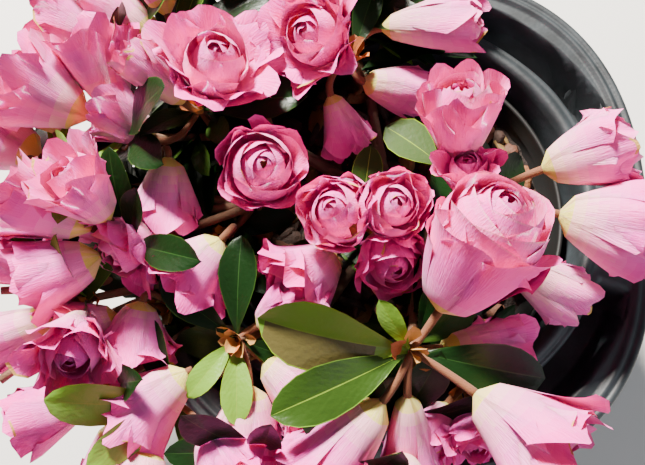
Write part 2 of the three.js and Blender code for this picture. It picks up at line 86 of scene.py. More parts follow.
def grid_quads(rows, cols, wrap=False):
    """Corner numbers of the quads between neighbouring grid points; wrap joins the last column to the first."""
    i, j = np.meshgrid(np.arange(rows - 1), np.arange(cols if wrap else cols - 1), indexing="ij")
    k = (j + 1) % cols
    corners = [i * cols + j, i * cols + k, (i + 1) * cols + k, (i + 1) * cols + j]
    return np.stack(corners, -1).reshape(-1, 4)


def grid_part(points, slots=0, wrap=False, uv=None):
    """A grid of points, rows by columns, as a part: points, quads, material numbers and UV."""
    rows, cols = points.shape[:2]
    quads = grid_quads(rows, cols, wrap)
    if uv is None:
        v, u = np.meshgrid(np.linspace(0, 1, rows), np.linspace(0, 1, cols), indexing="ij")
        uv = np.stack([u, v], -1)
    slots = np.asarray(slots)
    slots = slots.reshape(-1) if slots.size > 1 else np.full(len(quads), int(slots))
    return points.reshape(-1, 3), quads, slots, uv.reshape(-1, 2)


def make_piece(name, parts, materials, nodes=(), weld=False):
    """Joins parts, whose points are in millimetres, into one smooth mesh that rides on the root body."""
    starts = np.cumsum([0] + [len(part[0]) for part in parts[:-1]])
    points = np.concatenate([part[0] for part in parts]) * MM
    quads = np.concatenate([part[1] + start for part, start in zip(parts, starts)])
    slots = np.concatenate([part[2] for part in parts])
    uv = np.concatenate([part[3] for part in parts])[quads.ravel()]
    mesh = bpy.data.meshes.new(name)
    mesh.vertices.add(len(points))
    mesh.vertices.foreach_set("co", points.astype(np.float32).ravel())
    mesh.loops.add(quads.size)
    mesh.loops.foreach_set("vertex_index", quads.astype(np.int32).ravel())
    mesh.polygons.add(len(quads))
    mesh.polygons.foreach_set("loop_start", np.arange(0, quads.size, 4, dtype=np.int32))
    mesh.polygons.foreach_set("material_index", slots.astype(np.int32))
    mesh.polygons.foreach_set("use_smooth", np.ones(len(quads), bool))
    mesh.uv_layers.new(name="Surface").data.foreach_set("uv", uv.astype(np.float32).ravel())
    for material in materials:
        mesh.materials.append(material)
    mesh.update(calc_edges=True)
    piece = bpy.data.objects.new(name, mesh)
    bpy.context.scene.collection.objects.link(piece)
    if weld:
        merge = piece.modifiers.new("closed seams", "WELD")
        merge.merge_threshold = SEAM_MM * MM
    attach(piece, "root")
    if nodes:
        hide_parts(*nodes)
    print(name, len(points), "points", len(quads), "quads")
    return piece


# %% [markdown]
# Materials
#
# Each finish is one Principled shader. Its colour is given as it looks on a screen, in hex, and turned to the
# linear values that light adds up in. Relief comes from noise through a Bump node, in real millimetres. Grain and
# ribs that are finer in life than the picture can show are drawn coarser, so that they show.

# %% Colour and material helpers
def channels(code):
    """Red, green and blue of a hex colour, from 0 to 255."""
    return [int(code[i:i + 2], 16) for i in (1, 3, 5)]


def linear(code):
    """Linear RGBA of a screen colour: a channel up to 0.04045 is divided by 12.92, others follow the 2.4 power."""
    screen = np.array(channels(code)) / 255
    light = np.where(screen <= 0.04045, screen / 12.92, ((screen + 0.055) / 1.055) ** 2.4)
    return (*light, 1.0)


def mixed(first, second, share):
    """The screen colour that lies that share of the way from the first to the second."""
    ends = zip(channels(first), channels(second))
    return "#%02x%02x%02x" % tuple(int(round(a + (b - a) * share)) for a, b in ends)


def principled(material):
    """The shader node that a finish sets and links to."""
    return material.node_tree.nodes["Principled BSDF"]


def finish(name, code, roughness, ior=1.5, **sockets):
    """A material of one Principled shader with its colour, roughness and IOR set on its own sockets."""
    material = bpy.data.materials.new(name)
    material.use_nodes = True
    shader = principled(material)
    shader.inputs["Base Color"].default_value = linear(code)
    shader.inputs["Roughness"].default_value = roughness
    shader.inputs["IOR"].default_value = ior
    for socket, value in sockets.items():
        shader.inputs[socket.replace("_", " ")].default_value = value
    return material


def add_node(material, kind, values=None, links=None, **settings):
    """Adds a node of that kind, gives it its settings and input values, and links its inputs to (node, output)."""
    tree = material.node_tree
    node = tree.nodes.new(kind)
    for name, value in settings.items():
        setattr(node, name, value)
    for name, value in (values or {}).items():
        node.inputs[name].default_value = value
    for name, (source, output) in (links or {}).items():
        tree.links.new(source.outputs[output], node.inputs[name])
    return node


def relief(material, height_node, output, depth_mm):
    """Links a height to the shader's normal through a Bump node, whose full height is that many millimetres."""
    bump = add_node(material, "ShaderNodeBump", {"Distance": depth_mm * MM, "Strength": 1.0},
                    {"Height": (height_node, output)})
    material.node_tree.links.new(bump.outputs["Normal"], principled(material).inputs["Normal"])


def grain(material, size_mm, detail=3.0, stretch=(1, 1, 1), space="Object"):
    """Noise whose lumps are about size_mm across on the piece, stretched along each axis."""
    place = add_node(material, "ShaderNodeTexCoord")
    mapping = add_node(material, "ShaderNodeMapping", {"Scale": stretch}, {"Vector": (place, space)})
    return add_node(material, "ShaderNodeTexNoise", {"Scale": 1 / (size_mm * MM), "Detail": detail},
                    {"Vector": (mapping, "Vector")})


# %% [markdown]
# The floor and the light
#
# The tray stands on a plain pale board, which reaches well past the crown. One lamp high on the far left throws
# the petals' soft shadows. A wide, faint lamp on the other side and a pale room keep them from going black.

# %% Floor and lights
FLOOR_HALF = 3
CROWN_CENTRE = Vector((-20, 0, 120))

# matt paint scatters light evenly, so the board shows no highlight, only the shadow
floor_material = finish("painted board", "#d9d7d2", 0.9)
floor_mesh = bpy.data.meshes.new("floor")
floor_mesh.from_pydata([(x * FLOOR_HALF, y * FLOOR_HALF, 0) for x, y in [(-1, -1), (1, -1), (1, 1), (-1, 1)]],
                       [], [(0, 1, 2, 3)])
floor_mesh.materials.append(floor_material)
floor = bpy.data.objects.new("floor", floor_mesh)
bpy.context.scene.collection.objects.link(floor)


def softbox(name, place_mm, size_mm, watts, tint):
    """A square lamp of that width, turned to face the middle of the crown."""
    lamp = bpy.data.lights.new(name, "AREA")
    lamp.size = size_mm * MM
    lamp.energy = watts
    lamp.color = linear(tint)[:3]
    holder = bpy.data.objects.new(name, lamp)
    holder.location = [c * MM for c in place_mm]
    towards = CROWN_CENTRE * MM - holder.location
    holder.rotation_euler = towards.to_track_quat("-Z", "Y").to_euler()
    bpy.context.scene.collection.objects.link(holder)
    print(name, "lamp", watts, "W,", size_mm, "mm wide")


softbox("key", (-420, 940, 960), 200, 132, "#fff9f0")
softbox("fill", (700, -700, 700), 900, 6, "#eef3ff")
world = bpy.data.worlds.new("room")
world.use_nodes = True
background = world.node_tree.nodes["Background"]
background.inputs["Color"].default_value = linear("#dfe4ea")
background.inputs["Strength"].default_value = 0.22
bpy.context.scene.world = world

# %% [markdown]
# The carry tray
#
# A carry tray is one sheet of dark grey polystyrene, drawn by vacuum over a mould, so every corner is soft and
# dust dulls it. Its deck is drawn here as a height over a polar grid: rings run from the pocket's rolled lip out
# to the ridged rim, and a recess sinks between the pockets at each corner. The cup and the skirt are more rings.

# %% Tray surfaces
TRAY_HALF = (94.0, 98.0)
SQUARENESS = 2.5
DECK = 110.0
DECK_START, DECK_INSET = 75.4, 7.6
UNDER_START, UNDER_INSET, SHEET = 75.0, 8.5, 2.0
RECESS_SINK, RECESS_HALF_ANGLE, RECESS_WALL = 20.0, np.radians(23), 2
RECESS_NEAR, RECESS_FAR = (77.5, 79.5), (89.5, 91.5)
TURNS = np.linspace(0, 2 * np.pi, 240, endpoint=False)


def tray_reach(angle, inset):
    """Distance to the tray's outline, a superellipse: ((|cos|/a)**n + (|sin|/b)**n)**(-1/n), less the inset."""
    a, b = TRAY_HALF
    across = (np.abs(np.cos(angle)) / a) ** SQUARENESS + (np.abs(np.sin(angle)) / b) ** SQUARENESS
    return across ** (-1 / SQUARENESS) - inset


def rise(x, low, high):
    """A smooth step from 0 at low to 1 at high: 3t**2 - 2t**3."""
    t = np.clip((x - low) / (high - low), 0, 1)
    return t * t * (3 - 2 * t)


def recess_depth(radius, angle):
    """How far the deck sinks: full inside an arc-shaped slot at each corner, with smooth steps for its walls."""
    off_corner = np.abs(angle % (np.pi / 2) - np.pi / 4)
    along, half = off_corner * radius, RECESS_HALF_ANGLE * radius
    inside = (rise(radius, *RECESS_NEAR) * (1 - rise(radius, *RECESS_FAR))
              * (1 - rise(along, half - RECESS_WALL, half)))
    return RECESS_SINK * inside


def ring_grid(radius, height, angle):
    """Points at that radius, height and angle round the upright axis: rows are rings, columns are turns."""
    radius, height, angle = np.broadcast_arrays(radius, height, angle)
    return np.stack([radius * np.cos(angle), radius * np.sin(angle), height], -1)


def turned_profile(steps, angle):
    """A profile of (radius, height) steps carried round the upright axis, one ring to a step."""
    radius, height = np.array(steps, float).T[..., None]
    return ring_grid(radius, height, angle)


# the rim's steps are its distance inside the outline and its height over the deck, the others radius and height
rim_steps = [(7.5, 0.0), (6.6, 0.3), (5.9, 1.3), (5.0, 1.7), (4.2, 1.2), (3.5, 0.5), (2.8, 1.0), (2.0, 1.5),
             (1.0, 1.2), (0.3, 0.4), (0.0, -1.0), (0.0, -6.0), (-0.3, -12.0), (-0.6, -21.5), (-2.4, -23.0),
             (-3.0, -23.2), (-3.0, -24.0), (-1.5, -24.0), (0.6, -23.0), (1.4, -12.0), (2.0, -3.2), (8.0, -2.2)]
cup_steps = [(0.0, 0.0), (34.0, 0.0), (50.0, 0.0), (54.5, 0.4), (56.2, 1.8), (58.0, 12.0), (65.0, 62.0),
             (71.0, 104.0), (72.2, 108.0), (74.5, 108.6)]
inner_steps = [(75.2, 110.2), (74.3, 111.0), (73.0, 111.5), (71.6, 111.1), (70.6, 109.8), (69.8, 106.5),
               (66.6, 84.0), (62.5, 56.0), (57.5, 21.0), (54.9, 5.0), (53.4, 3.0), (50.5, 2.4), (34.0, 2.4),
               (0.0, 2.4)]

deck_shares = np.linspace(0, 1, 26)[:, None]
deck_radius = DECK_START + deck_shares * (tray_reach(TURNS, DECK_INSET) - DECK_START)
deck_grid = ring_grid(deck_radius, DECK - recess_depth(deck_radius, TURNS), TURNS)
rim_inset, rim_height = np.array(rim_steps).T[..., None]
rim_grid = ring_grid(tray_reach(TURNS, rim_inset), DECK + rim_height, TURNS)
under_shares = np.linspace(1, 0, 12)[:, None]
under_radius = under_shares * (tray_reach(TURNS, UNDER_INSET) - UNDER_START) + UNDER_START
under_depth = np.maximum(1.1 * SHEET, recess_depth(under_radius, TURNS) + SHEET)
under_grid = ring_grid(under_radius, DECK - under_depth, TURNS)
tray_shell = np.concatenate([turned_profile(inner_steps[::-1], TURNS), deck_grid, rim_grid, under_grid,
                             turned_profile(cup_steps[::-1], TURNS)])[:, ::-1]

# a drawn sheet takes a fine matt skin from its mould, and settled dust clouds its dark grey in soft patches
tray_plastic = finish("dusty vacuum-formed polystyrene", "#2a3034", 0.55, 1.55)
tray_blend = add_node(tray_plastic, "ShaderNodeValToRGB", links={"Fac": (grain(tray_plastic, 9, 5), "Fac")})
for stop, position, code in zip(tray_blend.color_ramp.elements, (0.35, 0.75), ("#1b2023", "#2e3539")):
    stop.position, stop.color = position, linear(code)
tray_plastic.node_tree.links.new(tray_blend.outputs["Color"], principled(tray_plastic).inputs["Base Color"])
relief(tray_plastic, grain(tray_plastic, 1.2, 2), "Fac", 0.08)
make_piece("carry_tray_shell", [grid_part(tray_shell, wrap=True)], [tray_plastic],
           ["tray_pocket", "tray_deck"], weld=True)

# %% [markdown]
# The nursery pot
#
# The pot is a thin shell turned round one axis, so a profile of radius and height, carried round a circle,
# makes all of it. The rim band stands proud of the wall and its edges are rounded by extra profile points.

# %% Pot shell
pot_steps = [(0, 2.7), (44.5, 2.7), (46.0, 3.2), (46.8, 4.6), (62.2, 90.6), (62.6, 91.2), (64.6, 91.6),
             (65.0, 92.2), (65.0, 101.8), (64.8, 102.7), (64.1, 103.1), (63.4, 102.8), (63.1, 102.0),
             (62.9, 93.0), (60.3, 91.0), (45.0, 5.6), (43.4, 4.5), (0, 4.5)]
pot_grid = turned_profile(pot_steps, np.linspace(0, 2 * np.pi, 128, endpoint=False))
# moulded black plastic with a fine grain: it swallows light and keeps only a dull sheen along its rim
pot_plastic = finish("black moulded polypropylene", "#0a0a09", 0.6, 1.49)
relief(pot_plastic, grain(pot_plastic, 0.8, 2), "Fac", 0.05)
make_piece("pot_shell", [grid_part(pot_grid, wrap=True)], [pot_plastic], ["pot"], weld=True)

# %% [markdown]
# Bark mix
#
# The pot is filled with peat and chipped pine bark. A disc with soft lumps makes the peat, and over two hundred
# flattened, knobbly chips lie on it, each one small grid wrapped into a block and turned at random.

# %% Peat and chips
MIX_RADIUS, MIX_TOP, MIX_FALL = 62.0, 94.2, 3
MIX_RINGS, MIX_TURNS = 40, 110
CHIP_COUNT, CHIP_SMALL, CHIP_LARGE = 230, (3.0, 1.8, 0.8), (7.5, 4.0, 2.2)
CHIP_TONE_SHARES = [0.4, 0.3, 0.2, 0.1]


def lumps(x, y, size, seed):
    """Smooth bumps between -1 and 1: four sine waves of that size that run in seeded directions, averaged."""
    rng = np.random.default_rng(seed)
    total = 0
    for turn, phase, scale in rng.uniform((0, 0, 0.7), (2 * np.pi, 2 * np.pi, 1.6), (4, 3)):
        total = total + np.sin(2 * np.pi * scale / size * (x * np.cos(turn) + y * np.sin(turn)) + phase)
    return total / 4


mix_turns = np.linspace(0, 2 * np.pi, MIX_TURNS, endpoint=False)
mix_radius = np.linspace(0, MIX_RADIUS, MIX_RINGS)[:, None]
mix_x, mix_y = mix_radius * np.cos(mix_turns), mix_radius * np.sin(mix_turns)
mix_height = (MIX_TOP - MIX_FALL * (mix_radius / MIX_RADIUS) ** 2 + 1.0 * lumps(mix_x, mix_y, 12, 1)
              + 0.7 * lumps(mix_x, mix_y, 4, 2))
mix_top = np.stack([mix_x, mix_y, mix_height], -1)
mix_side = turned_profile([(61.0, 88.0), (45.0, 5.0), (0.0, 5.0)], mix_turns)
mix_grid = np.concatenate([mix_top, mix_side])[:, ::-1]


def boxed(value):
    """A sine or cosine pushed towards 1 or -1 by its 0.45 power, which turns a ball into a soft box."""
    return np.sign(value) * np.abs(value) ** 0.45


def chip(rng, rows=6, cols=8):
    """A knobbly block: the points of a ball pushed out to a box, roughened, and turned at random."""
    tilt = np.linspace(-np.pi / 2, np.pi / 2, rows)[:, None]
    turn = np.linspace(0, 2 * np.pi, cols, endpoint=False)
    ball = np.stack([boxed(np.cos(tilt)) * boxed(np.cos(turn)), boxed(np.cos(tilt)) * boxed(np.sin(turn)),
                     boxed(np.sin(tilt)) + 0 * turn], -1)
    ball = ball * (1 + 0.12 * rng.standard_normal((rows, cols, 1)))
    ball[[0, -1]] = ball[[0, -1]].mean(1, keepdims=True)
    size = rng.uniform(CHIP_SMALL, CHIP_LARGE)
    axis = unit(rng.standard_normal(3) * (0.35, 0.35, 1))
    side = unit(np.cross(axis, rng.standard_normal(3)))
    return (ball * size) @ np.stack([side, np.cross(axis, side), axis])


rng = np.random.default_rng(11)
chips = []
for _ in range(CHIP_COUNT):
    reach, turn = 61 * np.sqrt(rng.uniform(0.01, 0.86)), rng.uniform(0, 2 * np.pi)
    level = MIX_TOP + 0.4 - MIX_FALL * (reach / MIX_RADIUS) ** 2 + rng.uniform(0, 2.2)
    place = np.array([reach * np.cos(turn), reach * np.sin(turn), level])
    chips.append(grid_part(chip(rng) + place, slots=1 + rng.choice(4, p=CHIP_TONE_SHARES), wrap=True))

# wet peat is a crumbling dark brown that shows no shine
peat = finish("damp peat", "#231813", 0.9)
relief(peat, grain(peat, 1.6, 5), "Fac", 1.2)
# broken bark shows its layers as streaks: dark outside, orange-brown and straw-coloured within
chip_finishes = [finish(f"pine bark chip {tone}", code, 0.75) for tone, code in
                 [("umber", "#3a251b"), ("russet", "#5a3422"), ("tan", "#7d4d2a"), ("straw", "#8c7040")]]
for chip_finish in chip_finishes:
    relief(chip_finish, grain(chip_finish, 1.5, 4, (1, 1, 3)), "Fac", 0.7)
make_piece("bark_mix_fill", [grid_part(mix_grid, wrap=True)] + chips, [peat] + chip_finishes,
           ["bark_mix"], weld=True)

# %% [markdown]
# The plan of the crown
#
# The masses of flowers in the frame follow a rule: shoots spread on a dome by the golden angle, each carrying up
# to three blooms and a fan of leaves, and those that face the viewer are placed one by one. The same rule is
# written again here, with the same seeded draws, so that the petals grow on the same shoots as their solids.
# A bloom also keeps its distance from those before it. The frame takes the shoots bough by bough and this script
# takes them along the spiral, so many blooms of the rule stand on another side of their shoot than in the frame.

# %% Shoots
GOLDEN_ANGLE = np.pi * (3 - np.sqrt(5))
CROWN_MIDDLE = np.array([-30.0, 0.0])
CROWN_RADIUS, CROWN_TOP, CROWN_FALL = 93.0, 142.0, 24.0
CROWN_GAPS = [((70, 50), 42), ((82, -55), 48)]
VIEWED_X, VIEWED_Y, VIEWED_MARGIN = (-72, 78), (-76, 60), 24
SHOOT_COUNT, SHOOT_SPACING, JITTER, SEED = 58, 21.0, 4.0, 20

# The shoots that face the viewer: the shoot's end, its blooms as foot, mouth, width and form, and its leaves as
# tip and tint. Feet, mouths and tips are given from the shoot's end.
VIEW_SHOOTS = [
    ((0, -56, 147),
     [((8, 11, 3), (27, 41, 21), 40, "crowned"), ((17, -12, 4), (42, -33, 14), 33, "funnel"),
      ((-8, -14, -2), (-31, -40, -16), 28, "funnel"), ((-1, -12, -4), (2, -39, -26), 20, "funnel"),
      ((9, 1, -5), (37, 1, -22), 24, "funnel")],
     [((-45, 7, 11), "bronzed"), ((-41, -19, 5), "mid"), ((40, -9, 1), "dark"), ((-10, 13, 11), "fresh"),
      ((8, 20, -4), "dark")]),
    ((25, -7, 138),
     [((20, 10, 2), (47, 17, 12), 26, "closed"), ((24, -5, 3), (52, -13, 8), 31, "closed"),
      ((8, -20, -2), (36, -31, -16), 20, "closed"), ((-7, 12, 3), (-10, 30, 31), 26, "tulip"),
      ((-5, 2, 2), (-8, 9, 21), 18, "frilly")],
     [((-29, 25, 8), "grey"), ((-6, -25, -8), "dark")]),
    ((-14, -13, 132),
     [((-4, -2, 8), (-10, -2, 28), 25, "half"), ((6, 1, 8), (10, -1, 30), 23, "half"),
      ((6, -6, 3), (10, -20, 18), 24, "half"), ((-8, -10, 0), (-26, -26, 6), 30, "frilly")],
     [((8, -24, 2), "dark"), ((-24, 12, 4), "dark"), ((4, 26, 6), "mid")]),
    ((-16, 45, 138),
     [((9, 10, 2), (44, 6, 14), 20, "closed"), ((3, -8, -2), (28, -8, -14), 20, "closed"),
      ((-8, -12, -3), (1, -28, -18), 18, "funnel"), ((-7, 1, 6), (-17, -4, 25), 31, "frilly")],
     [((8, 24, 8), "dark"), ((-16, 24, 0), "mid"), ((-30, -4, 2), "dark")]),
    ((-54, -51, 130),
     [((6, 4, 0), (24, 12, 5), 24, "rose"), ((4, -14, -2), (2, -40, -12), 30, "funnel"),
      ((8, -6, -4), (28, -22, -8), 26, "frilly")],
     [((1, 32, 10), "dark"), ((-25, 18, 8), "dark"), ((-15, -18, 4), "fresh"), ((1, -27, 4), "fresh"),
      ((27, -9, -6), "dark")]),
    ((-75, -70, 126),
     [((6, 9, 4), (-17, -10, 0), 28, "funnel"), ((-6, -14, 2), (-12, -44, 8), 32, "frilly"),
      ((10, -8, 2), (26, -28, 6), 26, "frilly")],
     [((-32, -2, 22), "fresh"), ((-18, -19, 18), "fresh"), ((14, -22, 2), "mid"), ((-10, 26, 4), "dark")]),
    ((-69, 27, 134),
     [((20, -23, -4), (25, -27, 22), 29, "rose"), ((-3, -1, 7), (-20, 11, 26), 17, "closed"),
      ((5, 5, 8), (11, 8, 29), 33, "frilly"), ((-15, -10, -2), (-35, 1, 5), 23, "funnel")],
     [((36, -2, 19), "dark"), ((-15, -14, 16), "dark"), ((-20, 24, 4), "mid")]),
    ((-92, 0, 116),
     [((-7, -4, 0), (-32, -9, -18), 32, "funnel"), ((13, 11, 17), (11, -14, 8), 27, "funnel"),
      ((7, -12, 12), (-4, -26, 18), 28, "frilly")],
     [((-20, 20, 6), "mid"), ((-26, -16, 4), "dark"), ((18, 18, 2), "dark")]),
    ((-61, -13, 112),
     [((2, -6, 24), (-13, -22, 16), 28, "frilly")],
     [((-6, -26, 6), "dark"), ((24, 10, 4), "dark")]),
    ((-80, -38, 116),
     [((-6, 0, 12), (-10, -19, 7), 25, "frilly"), ((-14, -5, 8), (-31, -14, 9), 27, "frilly")],
     [((14, -16, 4), "dark"), ((-22, -18, 2), "mid")]),
    ((21, -66, 121),
     [((1, -5, 1), (0, -22, 9), 20, "frilly"), ((-6, -5, 0), (-17, -20, 5), 20, "frilly")],
     [((16, -18, 4), "dark"), ((18, 8, 4), "dark")]),
]


def seeded_draw(seed):
    """Draws from 0 to 1: each state is the last one times 1664525 plus 1013904223, kept below 2**32."""
    state = seed

    def draw():
        nonlocal state
        state = (state * 1664525 + 1013904223) % 2 ** 32
        return state / 2 ** 32
    return draw


def between(low, high, share):
    """The value that lies that share of the way from low to high."""
    return low + (high - low) * share


def viewed(x, y, margin=0):
    """Whether a place lies over the part of the crown that the listed shoots fill, grown by a margin."""
    return (VIEWED_X[0] - margin < x < VIEWED_X[1] + margin
            and VIEWED_Y[0] - margin < y < VIEWED_Y[1] + margin)


def crown_shoots():
    """The listed shoots, then those of a golden-angle spiral on the dome that are clear of others and of gaps."""
    draw = seeded_draw(SEED)
    shoots = [{"at": np.array(at, float), "blooms": blooms, "leaves": leaves, "viewed": True}
              for at, blooms, leaves in VIEW_SHOOTS]
    for i in range(SHOOT_COUNT):
        angle, reach = i * GOLDEN_ANGLE, CROWN_RADIUS * np.sqrt((i + 0.5) / SHOOT_COUNT)
        x = CROWN_MIDDLE[0] + reach * np.cos(angle) + JITTER * (draw() - 0.5)
        y = CROWN_MIDDLE[1] + reach * np.sin(angle) + JITTER * (draw() - 0.5)
        share = np.hypot(*(np.array([x, y]) - CROWN_MIDDLE)) / CROWN_RADIUS
        at = np.array([x, y, CROWN_TOP - CROWN_FALL * share ** 2 + JITTER * (draw() - 0.5)])
        open_here = any(np.hypot(x - gx, y - gy) < radius for (gx, gy), radius in CROWN_GAPS)
        clear = all(np.linalg.norm(at - other["at"]) > SHOOT_SPACING for other in shoots)
        if clear and not open_here and not viewed(x, y):
            shoots.append({"at": at, "draw": seeded_draw(SEED + i), "viewed": False})
    return shoots


shoots = crown_shoots()
print("shoots", len(shoots))

# %% Blooms and leaves of each shoot
TRAY_CLEARANCE = 124.0
UPRIGHT = 0.9
BLOOM_TILT, STALK_LENGTH, BLOOM_LENGTH, BLOOM_WIDTH = (0.85, 1.35), (9, 14), (27, 34), (23, 31)
BLOOMS_PER_SHOOT, TRIES, TRY_TILT, BLOOM_SPACING = 3, 6, 0.12, 21
LEAF_TILT, LEAF_LENGTH, LEAVES_PER_SHOOT, LEAF_CLEARANCE = (0.9, 1.5), (24, 44), 7, 12


def outward(at):
    """Up in the middle of the crown, leaning out towards its edge."""
    return unit([*(at[:2] - CROWN_MIDDLE) / CROWN_RADIUS, UPRIGHT])


def turned(vector, axis, angle):
    """The vector turned about an axis: v cos + (axis x v) sin + axis (axis . v)(1 - cos)."""
    return (vector * np.cos(angle) + np.cross(axis, vector) * np.sin(angle)
            + axis * np.dot(axis, vector) * (1 - np.cos(angle)))


def leaning(axis, tilt, turn):
    """The axis tipped by the tilt, then swung round where it was by the turn."""
    side = unit(np.cross((1.0, 0.0, 0.0), axis))
    return turned(turned(axis, side, tilt), axis, turn)


def raised(start, direction, length):
    """The direction, lifted where its end would come too low over the tray."""
    end = start + direction * length
    if abs(end[0]) < TRAY_HALF[0] and abs(end[1]) < TRAY_HALF[1]:
        end[2] = max(end[2], TRAY_CLEARANCE)
    return unit(end - start)


def far(place, others, distance):
    """Whether every other place is further away than that distance."""
    return all(np.linalg.norm(place - other) > distance for other in others)


mouths = [shoot["at"] + mouth for shoot in shoots if shoot["viewed"] for _, mouth, _, _ in shoot["blooms"]]
for shoot in shoots:
    at, axis = shoot["at"], outward(shoot["at"])
    if shoot["viewed"]:
        shoot["blooms"] = [(at + foot, at + mouth, across, form) for foot, mouth, across, form in shoot["blooms"]]
        continue
    draw, blooms = shoot["draw"], []
    first = 2 * np.pi * draw()
    for k in range(BLOOMS_PER_SHOOT):
        tilt, stalk = between(*BLOOM_TILT, draw()), between(*STALK_LENGTH, draw())
        length, across = between(*BLOOM_LENGTH, draw()), between(*BLOOM_WIDTH, draw())
        for i in range(TRIES):
            turn = first + k / BLOOMS_PER_SHOOT * 2 * np.pi + i
            direction = raised(at, leaning(axis, tilt - TRY_TILT * i, turn), stalk + length)
            foot = at + direction * stalk
            mouth = foot + direction * length
            if not viewed(mouth[0], mouth[1], VIEWED_MARGIN) and far(mouth, mouths, BLOOM_SPACING):
                blooms.append((foot, mouth, across, "ruled"))
                mouths.append(mouth)
                break
    shoot["blooms"] = blooms
for shoot in shoots:
    at, axis = shoot["at"], outward(shoot["at"])
    if shoot["viewed"]:
        shoot["leaves"] = [(at + tip, tint) for tip, tint in shoot["leaves"]]
        continue
    draw, tips = shoot["draw"], []
    first = 2 * np.pi * draw()
    for k in range(LEAVES_PER_SHOOT):
        tilt, length = between(*LEAF_TILT, draw()), between(*LEAF_LENGTH, draw())
        direction = raised(at, leaning(axis, tilt, first + k * GOLDEN_ANGLE), length)
        if all(far(at + direction * share * length, mouths, LEAF_CLEARANCE) for share in (1, 0.6)):
            tips.append((at + direction * length, "ruled"))
    shoot["leaves"] = tips
print("blooms", sum(len(s["blooms"]) for s in shoots), "leaves", sum(len(s["leaves"]) for s in shoots))

# %% [markdown]
# Trunk and boughs
#
# The stems are tubes carried along curves. At each place on the path a ring is laid square to it, and the rings
# turn as little as possible from one to the next, so the bark's fissures run straight along the limb.

# %% Tubes along paths
OFF_AXIS = (0.31, 0.95, 0.05)


def bend(start, middle, end, steps):
    """Points of a curve from start to end, drawn to the middle: (1-t)**2, 2t(1-t) and t**2 of the three."""
    t = np.linspace(0, 1, steps)[:, None]
    return (1 - t) ** 2 * start + 2 * t * (1 - t) * middle + t * t * end


def tube_frames(path):
    """Tangent, normal and binormal at each point: each normal is the last one made square to the new tangent."""
    tangents = unit(np.gradient(path, axis=0))
    normal = unit(np.cross(tangents[0], OFF_AXIS))
    normals = []
    for tangent in tangents:
        normal = unit(normal - tangent * np.dot(normal, tangent))
        normals.append(normal)
    normals = np.array(normals)
    return tangents, normals, np.cross(tangents, normals)


def tube(path, radii, sides, rough=0.0, seed=0):
    """A closed tube: each ring is centre + radius (normal cos + binormal sin), and both ends shrink to a point.

    Cracks along the limb, which are less the size of some bumps, and swellings, which are half of some wider
    bumps, change the radius by their sum times the roughness.
    """
    path = np.concatenate([path[:1], path, path[-1:]])
    radii = np.concatenate([[0.0], radii, [0.0]])
    before, after = path[:1] - (path[2] - path[1]) * 0.01, path[-1:] + (path[-2] - path[-3]) * 0.01
    _, normals, binormals = tube_frames(np.concatenate([before, path[1:-1], after]))
    turn = np.linspace(0, 2 * np.pi, sides, endpoint=False)
    along = np.concatenate([[0], np.cumsum(np.linalg.norm(np.diff(path, axis=0), axis=1))])
    ring = radii[:, None] * np.ones(sides)
    if rough:
        around = turn * radii[len(radii) // 2]
        cracks = -np.abs(lumps(around[None] * 2.2, along[:, None] * 0.45, 2.6, seed))
        swellings = 0.5 * lumps(around[None], along[:, None], 5, seed + 1)
        ring = ring + rough * (cracks + swellings) * (radii[:, None] > 0)
    outwards = normals[:, None] * np.cos(turn)[:, None] + binormals[:, None] * np.sin(turn)[:, None]
    uv = np.stack(np.broadcast_arrays(turn / (2 * np.pi), along[:, None] / 10), -1)
    return grid_part(path[:, None] + ring[..., None] * outwards, wrap=True, uv=uv)


# %% Trunk and boughs
TRUNK_FOOT, TRUNK_HEIGHT, TRUNK_LEAN, TRUNK_RADIUS = 94.3, 19.0, 2.5, 5.4
BOUGHS, BOUGH_STRIDE, BOUGH_TIP, BOUGH_SAG = 6, 5, 119.0, 3
FIRST_BEARING = np.radians(100)


def bearing(shoot):
    """The angle round the pot at which a shoot stands, counted from where the first bough's share begins."""
    return (np.arctan2(shoot["at"][1], shoot["at"][0]) + FIRST_BEARING) % (2 * np.pi)


by_bearing = sorted(shoots, key=bearing)
cuts = [int(i * len(by_bearing) / BOUGHS + 0.5) for i in range(BOUGHS + 1)]
sectors = [by_bearing[first:last] for first, last in zip(cuts, cuts[1:])]
trunk_share = np.linspace(0, 1, 26)
trunk_level = TRUNK_FOOT - 1 + (TRUNK_HEIGHT + 1.5) * trunk_share
trunk_path = np.stack([-TRUNK_LEAN * trunk_share, 0 * trunk_share, trunk_level], -1)
trunk_radii = TRUNK_RADIUS * (1 + 0.85 * np.exp(-9 * trunk_share)) - trunk_share
wood = [tube(trunk_path, trunk_radii, 44, 0.5, 3)]
for index, sector in enumerate(sectors):
    middle = np.mean([shoot["at"] for shoot in sector], axis=0)
    flat = np.hypot(middle[0], middle[1])
    tip = np.array([*(middle[:2] / flat * max(0.55 * flat, 26)), BOUGH_TIP])
    level = between(5, 17, (index * BOUGH_STRIDE % BOUGHS) / (BOUGHS - 1))
    start = np.array([-TRUNK_LEAN * level / TRUNK_HEIGHT, 0, TRUNK_FOOT + level])
    path = bend(start, (start + tip) / 2 - (0, 0, BOUGH_SAG), tip, 34)
    wood.append(tube(path, np.linspace(2.9, 1.8, 34), 22, 0.28, 10 + index))
    forward = unit(path[-1] - path[-2])
    for shoot in sector:
        shoot["fork"] = tip + forward * 2
# old azalea bark is dry, grey-brown and finely ridged along the limb, so it looks dull and rough
bark = finish("azalea bark", "#5d4636", 0.85)
relief(bark, grain(bark, 1.4, 5, (1, 1, 0.4)), "Fac", 0.6)
make_piece("woody_stems", wood, [bark], ["trunk"] + [f"bough_{i + 1}" for i in range(BOUGHS)],
           weld=True)

